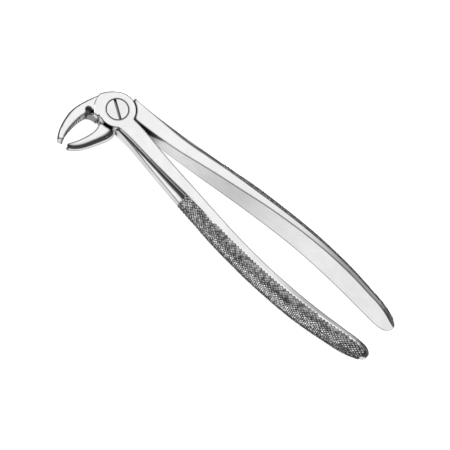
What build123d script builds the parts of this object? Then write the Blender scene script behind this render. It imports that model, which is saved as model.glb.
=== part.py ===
"""Dental extraction forceps, lower English pattern: two crossed levers on a slotted joint screw.

The forceps lies flat. The hinge axis is +Z, the handles run along +X and the beaks point to -Y.
The origin is on the hinge axis, at the back face of the joint. The front lever has the front half of
the lap joint, the outer beak and the lower handle; the rear lever has the rear half, the inner beak
and the upper handle.
"""

import os
from math import cos, hypot, radians, sin, sqrt

from build123d import *

# ---- joint, in millimetres and degrees ----
JOINT_THICKNESS = 10.0  # both lap halves together
LAP_HEIGHT = JOINT_THICKNESS / 2  # the plane where the halves meet
LAP_GAP = 0.04  # running clearance between the halves
DISC_RADIUS = 8.55  # each lap half is a round disc
SHOULDER_RADIUS = DISC_RADIUS + 0.12  # the other lever's shoulder clears the disc
LEDGE_RADIUS = 9.7  # the inner beak rises above the lap plane only beyond this
BOSS_RADIUS = 10.6  # raised flat round the screw on the front lever
FRONT_RIM_RADIUS = 0.75  # rounding of the rims round the screw
RIM_RADIUS = 0.5  # rounding of the rear disc's and the throat's rims

# ---- screw ----
SCREW_HEAD_RADIUS = 5.0
SCREW_HEAD_HEIGHT = 2.8
SCREW_SHANK_RADIUS = 3.0
RUNNING_FIT = 0.05  # radial and axial clearance of the front lever on the screw
SCREW_END_RECESS = 0.2
SLOT_WIDTH = 1.3
SLOT_DEPTH = 1.6
SLOT_ANGLE = -33.5  # at rest, from +X
HEAD_CHAMFER = 0.3

# ---- handles: stations along +X ----
# station X, inner face Y of the front and of the rear handle, width, twist about X in degrees,
# depth from the inner face to the crown, depth of the smooth side band, flat part of the crown,
# rise of each crown flank's arc as a share of its chord (negative on the fluted shank)
HANDLE_STATIONS = [
    (2.2, 1.42, 2.10, 9.9, 0.0, 8.0, 7.2, 0.72, -0.10),
    (12.0, 1.35, 2.25, 9.9, 0.0, 8.4, 7.4, 0.55, -0.18),
    (30.0, -1.46, 3.90, 10.3, 0.0, 8.45, 6.1, 0.45, -0.24),
    (48.0, -4.50, 6.50, 11.9, 5.0, 8.5, 5.1, 0.30, -0.20),
    (62.0, -6.65, 8.50, 12.5, 7.3, 8.2, 4.1, 0.20, 0.10),
    (80.0, -9.20, 10.80, 13.4, 10.5, 7.25, 3.0, 0.15, 0.14),
    (100.0, -10.60, 12.30, 13.9, 12.5, 6.3, 2.35, 0.15, 0.15),
    (120.0, -10.50, 12.20, 14.0, 14.5, 5.4, 2.0, 0.15, 0.15),
    (140.0, -8.60, 10.70, 13.0, 14.5, 4.55, 1.6, 0.15, 0.15),
]
INNER_EDGE_RADIUS = 0.6
BAND_EDGE_RADIUS = 0.6
CROWN_EDGE_RADIUS = 0.4
HANDLE_STEPS = 17

# the spoon end: its width follows an ellipse, and its thickness rounds off over the last stretch
HANDLE_END = 154.0
END_DEPTH_LENGTH = 4.0
END_SHARES = (0, 0.2, 0.38, 0.54, 0.67, 0.78, 0.86, 0.92, 0.965, 0.99)  # stations, as shares of the end's length
END_SLOPES = (0.17, -0.13)  # drift of the inner face per mm of the front and of the rear handle
END_TAPER = 0.06  # loss of depth per mm

# ---- beaks: stations from root to tip ----
# outer point XY, inner point XY, height along Z; the first ones lie inside the joint
FRONT_BEAK = [
    ((-3.5, 7.95), (-1.3, 3.0), 10.0),
    ((-7.0, 5.55), (-3.2, 2.6), 10.0),
    ((-10.0, 1.95), (-4.7, 0.9), 9.9),
    ((-12.0, -2.0), (-5.4, -2.0), 9.6),
    ((-13.4, -5.8), (-6.5, -5.8), 9.2),
    ((-14.4, -9.5), (-8.1, -9.5), 8.8),
    ((-14.95, -13.2), (-9.15, -13.2), 8.3),
    ((-14.65, -17.0), (-9.4, -17.3), 7.6),
    ((-13.75, -20.8), (-9.2, -21.3), 6.9),
    ((-12.4, -24.3), (-8.6, -24.4), 6.2),
    ((-10.2, -27.7), (-7.5, -26.5), 5.6),
]
REAR_BEAK = [
    ((6.3, -5.0), (-2.6, -5.0), 8.8),
    ((6.4, -9.2), (-2.2, -9.2), 8.8),
    ((5.9, -12.5), (-0.95, -13.2), 8.4),
    ((4.3, -16.4), (-1.4, -17.0), 7.7),
    ((2.0, -21.2), (-2.7, -20.9), 6.9),
    ((-0.6, -25.1), (-4.2, -24.1), 6.2),
    ((-3.7, -27.8), (-5.6, -26.6), 5.6),
]
FRONT_BEAK_ROUNDING = 0.22  # share of the section's depth that is rounded on the outer side
REAR_BEAK_ROUNDING = 0.62
BEAK_HOLLOW = 0.13  # hollow of the tooth face, as a share of the beak's height
BEAK_EDGE_RADIUS = 0.42

# the boss's outer edge on the front lever, a little inside the arm's outline
BOSS_OUTER = [(-3.4, 7.7), (-7.6, 4.7), (-10.6, 0.3), (-12.0, -4.5)]
# the web in the front lever's throat, between the disc and the outer beak
THROAT_ARC = [(-8.3, -9.9), (-6.6, -8.75), (-4.2, -8.55)]
THROAT_BACK = [(-2.5, -6.0), (-8.0, -3.0), (-10.5, -9.0)]
THROAT_HEIGHTS = (0.7, 7.4)
# round relief beside the boss, at the root of the outer beak
NOTCH_CENTRE = (-9.2, -8.75, 6.2)
NOTCH_RADIUS = 1.4

# the corner of the rear lever's neck is cut away, so that the front handle can swing open
NECK_RELIEF = [(2.5, -7.9), (4.06, -8.25), (6.0, -8.85), (12.0, -10.7), (12.0, 0), (2.5, 0)]


def handle_section(x, face_y, side, width, twist, depth, band, flat, rise):
    """D-shaped section at X = x: flat inner face, two side bands and a crowned outer side."""
    outward = (0, side * cos(radians(twist)), -side * sin(radians(twist)))
    half = width / 2
    crown = half * flat
    chord = hypot(depth - band, half - crown)
    bulge = rise * chord
    mid_x = (band + depth) / 2 + bulge * (half - crown) / chord
    mid_y = (half + crown) / 2 + bulge * (depth - band) / chord
    with BuildSketch(Plane((x, face_y, LAP_HEIGHT), x_dir=outward, z_dir=(1, 0, 0))) as section:
        with BuildLine():
            Polyline((band, -half), (0, -half), (0, half), (band, half))
            ThreePointArc((band, half), (mid_x, mid_y), (depth, crown))
            Line((depth, crown), (depth, -crown))
            ThreePointArc((depth, -crown), (mid_x, -mid_y), (band, -half))
        make_face()
        corners = section.vertices().group_by(Axis(origin=(0, 0, 0), direction=outward))
        fillet(corners[2], radius=min(CROWN_EDGE_RADIUS, crown / 2, chord / 5))
        fillet(corners[1], radius=min(BAND_EDGE_RADIUS, band / 3, chord / 4))
        fillet(corners[0], radius=min(INNER_EDGE_RADIUS, band / 3, width / 6))
    return section.sketch.face()


def beak_section(outer, inner, height, rounding):
    """Beak section through two plan points: hollow inner side, flat front and back, round outer side."""
    depth = hypot(outer[0] - inner[0], outer[1] - inner[1])
    middle = ((outer[0] + inner[0]) / 2, (outer[1] + inner[1]) / 2, LAP_HEIGHT)
    across = (outer[0] - inner[0], outer[1] - inner[1], 0)
    half_depth = depth / 2
    half_height = height / 2
    shoulder = half_depth - depth * rounding
    along = Vector(*across).cross(Vector(0, 0, 1))
    with BuildSketch(Plane(middle, x_dir=across, z_dir=along)) as section:
        with BuildLine():
            ThreePointArc(
                (-half_depth, -half_height),
                (-half_depth + BEAK_HOLLOW * height, 0),
                (-half_depth, half_height),
            )
            Line((-half_depth, half_height), (shoulder, half_height))
            ThreePointArc((shoulder, half_height), (half_depth, 0), (shoulder, -half_height))
            Line((shoulder, -half_height), (-half_depth, -half_height))
        make_face()
        fillet(section.vertices(), radius=BEAK_EDGE_RADIUS)
    return section.sketch.face()


def station_values(x):
    """Handle dimensions at X = x, along a smooth cubic through the stations."""
    last = len(HANDLE_STATIONS) - 1
    left = max(i for i in range(last) if HANDLE_STATIONS[i][0] <= x)
    start, end = HANDLE_STATIONS[left], HANDLE_STATIONS[left + 1]
    before, after = HANDLE_STATIONS[max(left - 1, 0)], HANDLE_STATIONS[min(left + 2, last)]
    length = end[0] - start[0]
    t = (x - start[0]) / length
    values = []
    for low, first, second, high in zip(before, start, end, after):
        slope_start = (second - low) / (end[0] - before[0]) * length
        slope_end = (high - first) / (after[0] - start[0]) * length
        rise = t * t * (3 - 2 * t)
        bend = t * (1 - t) * ((1 - t) * slope_start - t * slope_end)
        values.append(first + (second - first) * rise + bend)
    return values


def handle_sections(side, face_column):
    """Evenly spaced sections of one handle, from its root in the joint to where its end starts."""
    start_x = HANDLE_STATIONS[0][0]
    length = HANDLE_STATIONS[-1][0] - start_x
    sections = []
    for step in range(HANDLE_STEPS + 1):
        x = start_x + length * step / HANDLE_STEPS
        values = station_values(x)
        sections.append(handle_section(x, values[face_column], side, *values[3:]))
    return sections


def end_sections(side, face_column):
    """Sections of one handle's rounded end, closer together towards the tip."""
    station = HANDLE_STATIONS[-1]
    start_x, start_width, twist, start_depth, start_band, flat, rise = station[0], *station[3:]
    sections = []
    for share in END_SHARES:
        x = start_x + (HANDLE_END - start_x) * share
        depth = start_depth - END_TAPER * (x - start_x)
        drift = END_SLOPES[face_column - 1] * (x - start_x)
        depth_share = max(0, 1 - (HANDLE_END - x) / END_DEPTH_LENGTH)
        thinning = sqrt(1 - depth_share**2)
        face_y = station[face_column] + drift + side * depth * (1 - thinning) / 2
        width = start_width * sqrt(1 - share**2)
        band = start_band * thinning
        sections.append(handle_section(x, face_y, side, width, twist, depth * thinning, band, flat, rise))
    return sections


# ---- front lever ----
tall = JOINT_THICKNESS * 3  # longer than anything that it cuts

with BuildPart() as boss:
    with BuildSketch(Plane.XY.offset(LAP_HEIGHT)):
        with BuildLine():
            Spline(*BOSS_OUTER)
            Polyline(BOSS_OUTER[-1], THROAT_ARC[1], THROAT_ARC[2], (0, 0), BOSS_OUTER[0])
        make_face()
        Circle(BOSS_RADIUS, mode=Mode.INTERSECT)
    extrude(amount=JOINT_THICKNESS - LAP_HEIGHT)
    fillet(boss.edges().group_by(Axis.Z)[-1], radius=FRONT_RIM_RADIUS)

with BuildPart() as front_disc:
    with BuildSketch(Plane.XY.offset(LAP_HEIGHT + LAP_GAP)):
        Circle(DISC_RADIUS)
    extrude(amount=LAP_HEIGHT - LAP_GAP)
    fillet(front_disc.edges().group_by(Axis.Z)[-1], radius=FRONT_RIM_RADIUS)

with BuildPart() as throat_web:
    with BuildSketch(Plane.XY.offset(THROAT_HEIGHTS[0])):
        with BuildLine():
            ThreePointArc(*THROAT_ARC)
            Polyline(THROAT_ARC[-1], *THROAT_BACK, THROAT_ARC[0])
        make_face()
    extrude(amount=THROAT_HEIGHTS[1] - THROAT_HEIGHTS[0])
    fillet(throat_web.edges().group_by(Axis.Z)[-1], radius=RIM_RADIUS)

with BuildPart() as front_lever:
    loft(sections=handle_sections(-1, 1))
    loft(sections=end_sections(-1, 1), ruled=True)
    loft(sections=[beak_section(*station, FRONT_BEAK_ROUNDING) for station in FRONT_BEAK])
    add(throat_web.part)
    add(boss.part)
    with Locations(NOTCH_CENTRE):
        Cylinder(NOTCH_RADIUS, tall, align=(Align.CENTER, Align.CENTER, Align.MIN), mode=Mode.SUBTRACT)
    # room for the rear disc
    with BuildSketch(Plane.XY.offset(LAP_HEIGHT + LAP_GAP)):
        Circle(SHOULDER_RADIUS)
    extrude(amount=-tall, mode=Mode.SUBTRACT)
    add(front_disc.part)
    with Locations((0, 0, JOINT_THICKNESS)):
        CounterBoreHole(
            radius=SCREW_SHANK_RADIUS + RUNNING_FIT,
            counter_bore_radius=SCREW_HEAD_RADIUS + RUNNING_FIT,
            counter_bore_depth=SCREW_HEAD_HEIGHT + RUNNING_FIT,
            depth=JOINT_THICKNESS,
        )
front_lever.part.label = "front_lever"

# ---- rear lever ----
with BuildPart() as rear_disc:
    with BuildSketch():
        Circle(DISC_RADIUS)
    extrude(amount=LAP_HEIGHT)
    fillet(rear_disc.edges().group_by(Axis.Z)[0], radius=RIM_RADIUS)

with BuildPart() as rear_beak:
    loft(sections=[beak_section(*station, REAR_BEAK_ROUNDING) for station in REAR_BEAK])
    with BuildSketch(Plane.XY.offset(LAP_HEIGHT)):
        Circle(LEDGE_RADIUS)
    extrude(amount=tall, mode=Mode.SUBTRACT)
    with BuildSketch():
        Polygon(*NECK_RELIEF, align=None)
    extrude(amount=tall, mode=Mode.SUBTRACT)

with BuildPart() as rear_lever:
    loft(sections=handle_sections(1, 2))
    loft(sections=end_sections(1, 2), ruled=True)
    with BuildSketch(Plane.XY.offset(LAP_HEIGHT)):
        Circle(SHOULDER_RADIUS)
    extrude(amount=tall, mode=Mode.SUBTRACT)
    add(rear_beak.part)
    add(rear_disc.part)
    with Locations((0, 0, JOINT_THICKNESS)):
        Hole(radius=SCREW_SHANK_RADIUS)
rear_lever.part.label = "rear_lever"

# ---- joint screw ----
with BuildPart() as joint_screw:
    with BuildSketch(Plane.XY.offset(SCREW_END_RECESS)):
        Circle(SCREW_SHANK_RADIUS)
    extrude(amount=JOINT_THICKNESS - SCREW_HEAD_HEIGHT - SCREW_END_RECESS)
    with BuildSketch(Plane.XY.offset(JOINT_THICKNESS - SCREW_HEAD_HEIGHT)):
        Circle(SCREW_HEAD_RADIUS)
    extrude(amount=SCREW_HEAD_HEIGHT)
    top_edge = joint_screw.edges().group_by(Axis.Z)[-1]
    chamfer(top_edge, length=HEAD_CHAMFER)
    with BuildSketch(Plane.XY.offset(JOINT_THICKNESS - SLOT_DEPTH)):
        Rectangle(3 * SCREW_HEAD_RADIUS, SLOT_WIDTH, rotation=SLOT_ANGLE)
    extrude(amount=2 * SLOT_DEPTH, mode=Mode.SUBTRACT)
joint_screw.part.label = "joint_screw"

os.makedirs("parts", exist_ok=True)
export_step(front_lever.part, "parts/front_lever.step")
export_step(rear_lever.part, "parts/rear_lever.step")
export_step(joint_screw.part, "parts/joint_screw.step")
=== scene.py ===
"""Looks of the extraction forceps: polished steel, diamond-cut grips, beak teeth, camera and studio."""
from math import cos, radians, sin

import bpy
import numpy as np
from mathutils import Matrix, Vector
from mathutils.bvhtree import BVHTree


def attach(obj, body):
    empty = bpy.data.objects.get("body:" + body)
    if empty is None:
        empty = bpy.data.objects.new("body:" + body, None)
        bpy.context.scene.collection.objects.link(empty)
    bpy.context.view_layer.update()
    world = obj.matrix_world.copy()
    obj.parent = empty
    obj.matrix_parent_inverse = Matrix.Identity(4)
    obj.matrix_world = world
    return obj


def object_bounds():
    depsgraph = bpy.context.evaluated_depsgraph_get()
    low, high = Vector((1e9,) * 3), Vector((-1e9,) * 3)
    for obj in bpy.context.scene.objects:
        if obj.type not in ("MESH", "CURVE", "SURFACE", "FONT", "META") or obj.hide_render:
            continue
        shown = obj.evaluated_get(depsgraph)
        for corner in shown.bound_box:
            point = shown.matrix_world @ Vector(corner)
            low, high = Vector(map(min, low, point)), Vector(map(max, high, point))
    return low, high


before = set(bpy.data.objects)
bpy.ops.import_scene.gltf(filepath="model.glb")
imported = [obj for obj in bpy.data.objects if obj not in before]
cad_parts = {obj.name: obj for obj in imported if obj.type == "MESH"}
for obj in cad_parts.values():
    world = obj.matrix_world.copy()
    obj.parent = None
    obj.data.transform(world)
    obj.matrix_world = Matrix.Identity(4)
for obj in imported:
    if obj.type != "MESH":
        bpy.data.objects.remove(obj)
cad_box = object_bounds()

MM = 0.001

# ---- camera ----
VIEW_TILT = 21.0  # degrees between the hinge axis and the line of sight
VIEW_SIDE = 5.0  # degrees that the line of sight leans towards the handles' ends
HANDLE_SLOPE = 41.5  # degrees that the handles run below the picture's horizontal
CAMERA_DISTANCE = 1.1
FRAME_WIDTH = 0.1960  # metres across the picture at the object
TARGET = (69.5 * MM, -7.3 * MM, 10.0 * MM)  # the point in the picture's middle
SENSOR = 36.0
CLIP_START = 0.01

# ---- studio ----
# grey levels of the dome by the sine of the elevation, on the camera's side of the forceps and behind it
FRONT_LEVELS = [(-1.0, 0.06), (-0.965, 0.12), (-0.925, 0.80), (-0.80, 0.57), (-0.66, 0.92), (-0.52, 0.62),
                (-0.38, 0.05), (0.0, 0.07), (0.40, 0.03), (0.62, 0.14), (0.78, 0.55), (0.88, 0.91),
                (1.0, 0.96)]
BACK_LEVELS = [(-1.0, 0.35), (-0.90, 0.10), (0.0, 0.16), (0.50, 0.08), (0.62, 0.28), (0.69, 0.86),
               (0.78, 0.93), (1.0, 0.96)]
BACK_DIRECTION = (-0.5, 0.87, 0.0)
BACK_BLEND = (-0.05, 0.15)  # front levels give way to back ones between these cosines to that direction
SIDE_BOX_SIZE = 0.7
SIDE_BOX_POWER = 2.2
SIDE_BOX_PLACE = (-0.75, -0.42, 0.5)
SIDE_BOX_AIM = (0.06, 0.0, 0.0)
FLOOR_HALF = 4.0
FLOOR_GREY = 0.93
FLOOR_ROUGHNESS = 0.9
FLOOR_GLOW = 0.85  # the floor is a lit table, so that shadows stay faint

# ---- grips: diamonds cut into the handles' crowned sides ----
GRIP_PITCH = (1.72 * MM, 1.36 * MM)  # diamond diagonals along and across the handle
GRIP_HEIGHT = 0.36 * MM
GRIP_ROOT = 0.07 * MM  # each diamond starts this far inside the handle
GRIP_TOP = 0.24  # size of a diamond's flat top, as a share of its base
GRIP_UNEVEN = 0.05 * MM  # hand-cut diamonds: their top corners are this uneven
GRIP_SEED = 7
GRIP_MARGIN = 0.42  # from the outermost diamonds' middles to the crown's edges, as a share of the pitch
GRIP_LINES = 30  # lines tried on each side of the crown's middle, half a pitch apart
GRIP_RANGES = {"front_lever": (48.6 * MM, 152.4 * MM), "rear_lever": (51.0 * MM, 152.0 * MM)}

# ---- reading a handle's crown with rays ----
HANDLE_GAP = (1.0 * MM, 5.0 * MM)  # Y and Z of a line along X that runs between the two handles
HANDLE_TIP = 153.4 * MM  # the crown is read up to here
CROWN_STEP = 1.0 * MM  # from one cross-section to the next
CROWN_CENTRE = 0.4 * MM  # the rays of a cross-section spread from this far inside the inner face
CROWN_START = 0.2 * MM  # each ray starts this far from that centre
CROWN_FAN = 80.0  # degrees to each side
CROWN_RAYS = 161
CROWN_EDGE_NORMAL = 0.32  # the crown ends where the cosine of its normal to the outward direction is less

# ---- teeth on the beaks' inner sides ----
TOOTH_PITCH = 0.95 * MM
TOOTH_HEIGHT = 0.30 * MM
TOOTH_HALF_WIDTH = 0.27 * MM
TOOTH_ROOT = 0.10 * MM  # each tooth starts this far inside the beak
TOOTH_SPAN = (-12.6 * MM, -25.4 * MM)  # Y, from the beaks' root to their tips
TOOTH_HALF_LENGTH = (3.5 * MM, 2.3 * MM)  # along Z, at the root and at the tips
TOOTH_STEPS = 10  # steps along a tooth
TOOTH_FADE = 2  # steps in which a tooth rises at each end
TOOTH_SHORTEST = 3  # a tooth with fewer cross-sections than this is left out
TOOTH_END = 0.15  # height of a tooth's ends, as a share of its full height
BEAK_GAP_ROOT = -5.0 * MM  # X of the middle between the beaks at their root
BEAK_GAP_BOW = -1.6 * MM  # how far that middle has moved in X at the tips
BEAK_GAP_HALF = 6.0 * MM  # a beak is nearer than this to the middle
BEAK_MIDDLE_Z = 5.0 * MM

# ---- steel ----
CLOUD_SCALE = 160.0  # per metre: patches of better and worse polish
CLOUD_DETAIL = 5.0
CLOUD_RANGE = (0.42, 0.56)
MARKS_SCALE = (60.0, 2600.0, 2600.0)  # per metre: fine polishing marks along the handles
MARKS_DETAIL = 3.0
MARKS_RANGE = (0.3, 0.7)
MARKS_ROUGHNESS = (0.7, 1.5)  # shares of a steel's roughness
MARKS_DEPTH = 0.02 * MM
# painted shade: the steel's colour darkens in crevices, recesses and seams, by ambient occlusion
CREVICE_SHADE_REACH = 4.0 * MM
CREVICE_SHADE_OPEN = (0.20, 0.85)  # share of open surroundings where the painted crevice shade is darkest, and where that painted shade ends
CREVICE_SHADE_TONE = 0.04
CREVICE_SHADE_SAMPLES = 8
# painted shade in the valleys between the grip diamonds: its reach, and the share of open surroundings where
# it is darkest and where it ends
GRIP_SHADE_REACH = 0.8 * MM
GRIP_SHADE_OPEN = (0.30, 0.70)
GRIP_CLOUD_SCALE = 620.0  # the diamonds are polished unevenly
EDGE_REFLECTION_REACH = 1.2 * MM  # painted dark reflection along rounded edges: the colour darkens there
EDGE_REFLECTION_OPEN = (0.57, 0.80)
EDGE_REFLECTION_TONE = 0.12
EDGE_REFLECTION_SAMPLES = 12
THROAT_SHADE_SPOTS = [(-6.4 * MM, -9.6 * MM, 3.2 * MM), (1.2 * MM, -10.0 * MM, 4.6 * MM)]  # painted shade in the throat, centred on these points
THROAT_SHADE_REACH = (3.0 * MM, 5.2 * MM)  # painted shade is full up to the first distance and gone from the second
THROAT_SHADE_TONE = 0.30


def node_tree(node):
    """Ray-casting tree of a CAD node."""
    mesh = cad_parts[node].data
    verts = [v.co.copy() for v in mesh.vertices]
    return BVHTree.FromPolygons(verts, [tuple(p.vertices) for p in mesh.polygons])


def mesh_object(name, verts, faces):
    """New object from vertex and face lists."""
    mesh = bpy.data.meshes.new(name)
    mesh.from_pydata([tuple(v) for v in verts], [], faces)
    mesh.update()
    obj = bpy.data.objects.new(name, mesh)
    bpy.context.collection.objects.link(obj)
    return obj


# ---- grips ----
def crown_row(tree, x, side):
    """Points, normals and arc lengths from the middle, across the crowned outer side of a handle at X = x."""
    face, face_normal, _, _ = tree.ray_cast(Vector((x, *HANDLE_GAP)), Vector((0, side, 0)))
    outward = Vector((0, -face_normal.y, -face_normal.z)).normalized()
    across = Vector((1, 0, 0)).cross(outward)
    centre = face + outward * CROWN_CENTRE
    points, normals = [], []
    for angle in np.radians(np.linspace(-CROWN_FAN, CROWN_FAN, CROWN_RAYS)):
        ray = outward * cos(angle) + across * sin(angle)
        hit, normal, _, _ = tree.ray_cast(centre + ray * CROWN_START, ray)
        if hit is None:
            continue
        if normal.dot(ray) < 0:
            normal = -normal
        if normal.dot(outward) > CROWN_EDGE_NORMAL:
            points.append(hit)
            normals.append(normal)
    points = np.array(points)
    steps = np.linalg.norm(np.diff(points, axis=0), axis=1)
    lengths = np.concatenate([[0], np.cumsum(steps)])
    return points, np.array(normals), lengths - lengths[-1] / 2


def grip_skin(node, side):
    """Closed frusta in a diamond lattice over a handle's crown, bounded by its smooth side bands."""
    tree = node_tree(node)
    x_start, x_end = GRIP_RANGES[node]
    pitch_x, pitch_s = GRIP_PITCH
    stations = np.arange(x_start - 2 * pitch_x, HANDLE_TIP, CROWN_STEP)
    rows = [crown_row(tree, x, side) for x in stations]

    def row_values(row, s):
        """Point and normal in one row, and half the row's length."""
        points, normals, lengths = rows[row]
        point, normal = (np.array([np.interp(s, lengths, values[:, axis]) for axis in range(3)])
                         for values in (points, normals))
        return point, normal, lengths[-1]

    def surface(x, s):
        """Point and normal on the crown, s along the arc from its middle, and half the arc's length."""
        place = min(max((x - stations[0]) / CROWN_STEP, 0), len(rows) - 1)
        row = min(int(place), len(rows) - 2)
        share = place - row
        point, normal, half = (near * (1 - share) + far * share
                               for near, far in zip(row_values(row, s), row_values(row + 1, s)))
        return point, normal / np.linalg.norm(normal), half

    rng = np.random.default_rng(GRIP_SEED)
    corners = [(pitch_x / 2, 0), (0, pitch_s / 2), (-pitch_x / 2, 0), (0, -pitch_s / 2)]
    verts, faces = [], []
    for column in range(int((x_end - x_start) / (pitch_x / 2))):
        x = x_start + column * pitch_x / 2
        _, _, half = surface(x, 0)
        for line in range(-GRIP_LINES, GRIP_LINES + 1):
            s = line * pitch_s / 2
            if (column + line) % 2 or abs(s) > half - GRIP_MARGIN * pitch_s:
                continue
            base = len(verts)
            top_heights = GRIP_HEIGHT + rng.uniform(-GRIP_UNEVEN, GRIP_UNEVEN, 4)
            for size, heights in ((1, [-GRIP_ROOT] * 4), (GRIP_TOP, top_heights)):
                for (dx, ds), height in zip(corners, heights):
                    point, normal, _ = surface(x + dx * size, s + ds * size)
                    verts.append(point + normal * height)
            faces.append([base + k for k in (3, 2, 1, 0)])
            faces.append([base + k for k in (4, 5, 6, 7)])
            for k in range(4):
                after = (k + 1) % 4
                faces.append([base + k, base + after, base + 4 + after, base + 4 + k])
    return mesh_object(node.replace("lever", "grip_diamonds"), verts, faces)


# ---- beak teeth ----
def tooth_ridges(node, side):
    """Fine ridges across a beak's hollow inner side, from edge to edge."""
    tree = node_tree(node)
    y_root, y_tip = TOOTH_SPAN
    half_root, half_tip = TOOTH_HALF_LENGTH
    count = int((y_root - y_tip) / TOOTH_PITCH)
    verts, faces = [], []
    for tooth in range(count + 1):
        share = tooth / count
        y = y_root + (y_tip - y_root) * share
        middle_x = BEAK_GAP_ROOT + BEAK_GAP_BOW * share**2
        half = half_root + (half_tip - half_root) * share
        ridge = []
        for step in range(TOOTH_STEPS + 1):
            z = BEAK_MIDDLE_Z + half * (2 * step / TOOTH_STEPS - 1)
            hit, normal, _, _ = tree.ray_cast(Vector((middle_x, y, z)), Vector((side, 0, 0)))
            if hit is None or abs(hit.x - middle_x) > BEAK_GAP_HALF:
                continue
            if normal.x * side > 0:
                normal = -normal
            along = normal.cross(Vector((0, 0, 1))).normalized() * TOOTH_HALF_WIDTH
            rise = min(step, TOOTH_STEPS - step, TOOTH_FADE) / TOOTH_FADE
            height = TOOTH_HEIGHT * (TOOTH_END + (1 - TOOTH_END) * rise)
            foot = hit - normal * TOOTH_ROOT
            ridge.append((foot - along, hit + normal * height, foot + along))
        if len(ridge) < TOOTH_SHORTEST:
            continue
        base = len(verts)
        last = base + 3 * (len(ridge) - 1)
        verts += [corner for triangle in ridge for corner in triangle]
        for row in range(base, last, 3):
            for k in range(3):
                a, b = row + k, row + (k + 1) % 3
                faces.append([a, b, b + 3, a + 3])
        faces.append([base + 2, base + 1, base])
        faces.append([last, last + 1, last + 2])
    return mesh_object(node.replace("lever", "beak_teeth"), verts, faces)


# ---- materials ----
def product(tree, first, second):
    """Two values multiplied."""
    node = tree.nodes.new("ShaderNodeMath")
    node.operation = "MULTIPLY"
    tree.links.new(first, node.inputs[0])
    tree.links.new(second, node.inputs[1])
    return node.outputs["Value"]


def mapped(tree, value, source, target=(0.0, 1.0), interpolation="LINEAR"):
    """A value moved from one range to another and held within it."""
    node = tree.nodes.new("ShaderNodeMapRange")
    node.interpolation_type = interpolation
    node.inputs["From Min"].default_value, node.inputs["From Max"].default_value = source
    node.inputs["To Min"].default_value, node.inputs["To Max"].default_value = target
    tree.links.new(value, node.inputs["Value"])
    return node.outputs["Result"]


def noise(tree, place, scale, detail):
    """Cloudy noise."""
    node = tree.nodes.new("ShaderNodeTexNoise")
    node.inputs["Scale"].default_value = scale
    node.inputs["Detail"].default_value = detail
    tree.links.new(place, node.inputs["Vector"])
    return node.outputs["Fac"]


def openness(tree, reach, samples, inside=False):
    """Share of open surroundings: outside the steel it falls in crevices, and inside it falls at edges."""
    node = tree.nodes.new("ShaderNodeAmbientOcclusion")
    node.inside = inside
    node.samples = samples
    node.inputs["Distance"].default_value = reach
    return node.outputs["AO"]


def distance(tree, place, point):
    """Distance from a fixed point."""
    node = tree.nodes.new("ShaderNodeVectorMath")
    node.operation = "DISTANCE"
    node.inputs[1].default_value = point
    tree.links.new(place, node.inputs[0])
    return node.outputs["Value"]


def steel(name, colour, roughness, wear, scratch, reach=CREVICE_SHADE_REACH, open_range=CREVICE_SHADE_OPEN,
          cloud_scale=CLOUD_SCALE, dark_edge_reflections=False, shade_spots=()):
    """Stainless steel: cloudy polish, fine lengthwise marks, painted shade in crevices, painted dark
    reflections along edges and painted shade around given spots in the throat.
    """
    material = bpy.data.materials.new(name)
    material.use_nodes = True
    tree = material.node_tree
    nodes, links = tree.nodes, tree.links
    shader = nodes["Principled BSDF"]
    shader.inputs["Metallic"].default_value = 1.0
    place = nodes.new("ShaderNodeTexCoord").outputs["Object"]
    stretch = nodes.new("ShaderNodeMapping")
    stretch.inputs["Scale"].default_value = MARKS_SCALE
    links.new(place, stretch.inputs["Vector"])
    marks = noise(tree, stretch.outputs["Vector"], 1.0, MARKS_DETAIL)

    cloud = noise(tree, place, cloud_scale, CLOUD_DETAIL)
    tone = mapped(tree, cloud, CLOUD_RANGE, (colour * (1 - wear), colour))
    # painted shade in crevices: the colour darkens where the surroundings are closed
    crevice_shade = mapped(tree, openness(tree, reach, CREVICE_SHADE_SAMPLES), open_range, (CREVICE_SHADE_TONE, 1.0))
    tone = product(tree, tone, crevice_shade)
    # painted dark reflection: the colour darkens along edges, in place of dark surroundings mirrored there
    if dark_edge_reflections:
        edge_reflection = openness(tree, EDGE_REFLECTION_REACH, EDGE_REFLECTION_SAMPLES, inside=True)
        tone = product(tree, tone, mapped(tree, edge_reflection, EDGE_REFLECTION_OPEN, (EDGE_REFLECTION_TONE, 1.0)))
    # painted shade: the colour darkens around each of these points in the throat
    for shade_spot in shade_spots:
        away = distance(tree, place, shade_spot)
        tone = product(tree, tone, mapped(tree, away, THROAT_SHADE_REACH, (THROAT_SHADE_TONE, 1.0), "SMOOTHSTEP"))
    grey = nodes.new("ShaderNodeCombineColor")
    for channel in ("Red", "Green", "Blue"):
        links.new(tone, grey.inputs[channel])
    links.new(grey.outputs["Color"], shader.inputs["Base Color"])

    rough = mapped(tree, marks, MARKS_RANGE, [roughness * share for share in MARKS_ROUGHNESS])
    links.new(rough, shader.inputs["Roughness"])
    bump = nodes.new("ShaderNodeBump")
    bump.inputs["Strength"].default_value = scratch
    bump.inputs["Distance"].default_value = MARKS_DEPTH
    links.new(marks, bump.inputs["Height"])
    links.new(bump.outputs["Normal"], shader.inputs["Normal"])
    return material


def finish_with(obj, material):
    """The object's only material."""
    obj.data.materials.clear()
    obj.data.materials.append(material)


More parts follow.
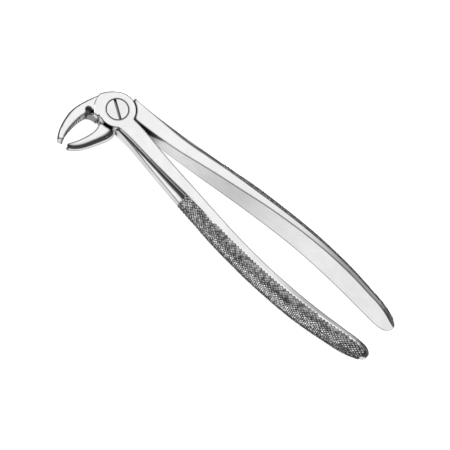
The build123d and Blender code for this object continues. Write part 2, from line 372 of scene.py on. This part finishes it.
# ---- studio ----
def floor(height):
    """Plain pale floor."""
    corners = [(-FLOOR_HALF, -FLOOR_HALF), (FLOOR_HALF, -FLOOR_HALF), (FLOOR_HALF, FLOOR_HALF),
               (-FLOOR_HALF, FLOOR_HALF)]
    obj = mesh_object("floor", [(x, y, height) for x, y in corners], [[0, 1, 2, 3]])
    material = bpy.data.materials.new("floor_paper")
    material.use_nodes = True
    shader = material.node_tree.nodes["Principled BSDF"]
    shader.inputs["Base Color"].default_value = (FLOOR_GREY, FLOOR_GREY, FLOOR_GREY, 1)
    shader.inputs["Roughness"].default_value = FLOOR_ROUGHNESS
    shader.inputs["Emission Color"].default_value = (1, 1, 1, 1)
    shader.inputs["Emission Strength"].default_value = FLOOR_GLOW
    finish_with(obj, material)
    obj.visible_glossy = False  # the steel mirrors the dome's lower half


def side_box():
    """Square softbox on the beaks' side."""
    light = bpy.data.lights.new("side_box", "AREA")
    light.shape = "SQUARE"
    light.size = SIDE_BOX_SIZE
    light.energy = SIDE_BOX_POWER
    obj = bpy.data.objects.new("side_box", light)
    obj.location = SIDE_BOX_PLACE
    obj.rotation_euler = (Vector(SIDE_BOX_AIM) - Vector(SIDE_BOX_PLACE)).to_track_quat("-Z", "Y").to_euler()
    bpy.context.collection.objects.link(obj)


def dome_ramp(tree, levels, source):
    """Grey levels by the sine of the elevation, which source gives as 0 to 1."""
    ramp = tree.nodes.new("ShaderNodeValToRGB")
    elements = ramp.color_ramp.elements
    while len(elements) < len(levels):
        elements.new(1.0)
    for element, (sine, level) in zip(elements, levels):
        element.position = (sine + 1) / 2
        element.color = (level, level, level, 1)
    tree.links.new(source, ramp.inputs["Fac"])
    return ramp.outputs["Color"]


def dome():
    """Studio dome: light above and below, with a dark band between that is wider behind the forceps."""
    world = bpy.data.worlds.new("studio")
    bpy.context.scene.world = world
    world.use_nodes = True
    tree = world.node_tree
    nodes, links = tree.nodes, tree.links
    place = nodes.new("ShaderNodeTexCoord").outputs["Generated"]
    split = nodes.new("ShaderNodeSeparateXYZ")
    links.new(place, split.inputs["Vector"])
    height = mapped(tree, split.outputs["Z"], (-1.0, 1.0))
    behind = nodes.new("ShaderNodeVectorMath")
    behind.operation = "DOT_PRODUCT"
    behind.inputs[1].default_value = BACK_DIRECTION
    links.new(place, behind.inputs[0])
    mix = nodes.new("ShaderNodeMix")
    mix.data_type = "RGBA"
    links.new(mapped(tree, behind.outputs["Value"], BACK_BLEND), mix.inputs["Factor"])
    links.new(dome_ramp(tree, FRONT_LEVELS, height), mix.inputs["A"])
    links.new(dome_ramp(tree, BACK_LEVELS, height), mix.inputs["B"])
    links.new(mix.outputs["Result"], nodes["Background"].inputs["Color"])


def camera():
    """Long lens over the forceps, turned so that the handles run down to the right."""
    tilt, side, slope = radians(VIEW_TILT), radians(VIEW_SIDE), radians(HANDLE_SLOPE)
    towards = Vector((sin(side), -sin(tilt) * cos(side), cos(tilt) * cos(side)))
    row_x = (Vector((1, 0, 0)) - towards * towards.x).normalized()
    row_up = towards.cross(row_x)
    right = row_x * cos(slope) + row_up * sin(slope)
    up = row_up * cos(slope) - row_x * sin(slope)
    data = bpy.data.cameras.new("camera")
    data.sensor_width = SENSOR
    data.lens = SENSOR * CAMERA_DISTANCE / FRAME_WIDTH
    data.clip_start = CLIP_START
    obj = bpy.data.objects.new("camera", data)
    turn = Matrix((right, up, towards)).transposed().to_4x4()
    obj.matrix_world = Matrix.Translation(Vector(TARGET) + towards * CAMERA_DISTANCE) @ turn
    bpy.context.collection.objects.link(obj)
    bpy.context.scene.camera = obj


camera()
floor(cad_box[0][2])
dome()
side_box()

lever_steel = steel("polished_steel", colour=0.95, roughness=0.08, wear=0.04, scratch=0.15, dark_edge_reflections=True,
                    shade_spots=THROAT_SHADE_SPOTS)
grip_steel = steel("cut_steel", colour=1.0, roughness=0.22, wear=0.55, scratch=0.2, reach=GRIP_SHADE_REACH,
                   open_range=GRIP_SHADE_OPEN, cloud_scale=GRIP_CLOUD_SCALE)
screw_steel = steel("screw_steel", colour=0.93, roughness=0.12, wear=0.05, scratch=0.2)
finish_with(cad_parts["front_lever"], lever_steel)
finish_with(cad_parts["rear_lever"], lever_steel)
finish_with(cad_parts["joint_screw"], screw_steel)

for node, body, side in (("front_lever", "front_half", -1), ("rear_lever", "rear_half", 1)):
    for piece, material in ((grip_skin(node, side), grip_steel), (tooth_ridges(node, side), lever_steel)):
        finish_with(piece, material)
        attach(piece, body)

bpy.context.scene.view_settings.view_transform = "Standard"
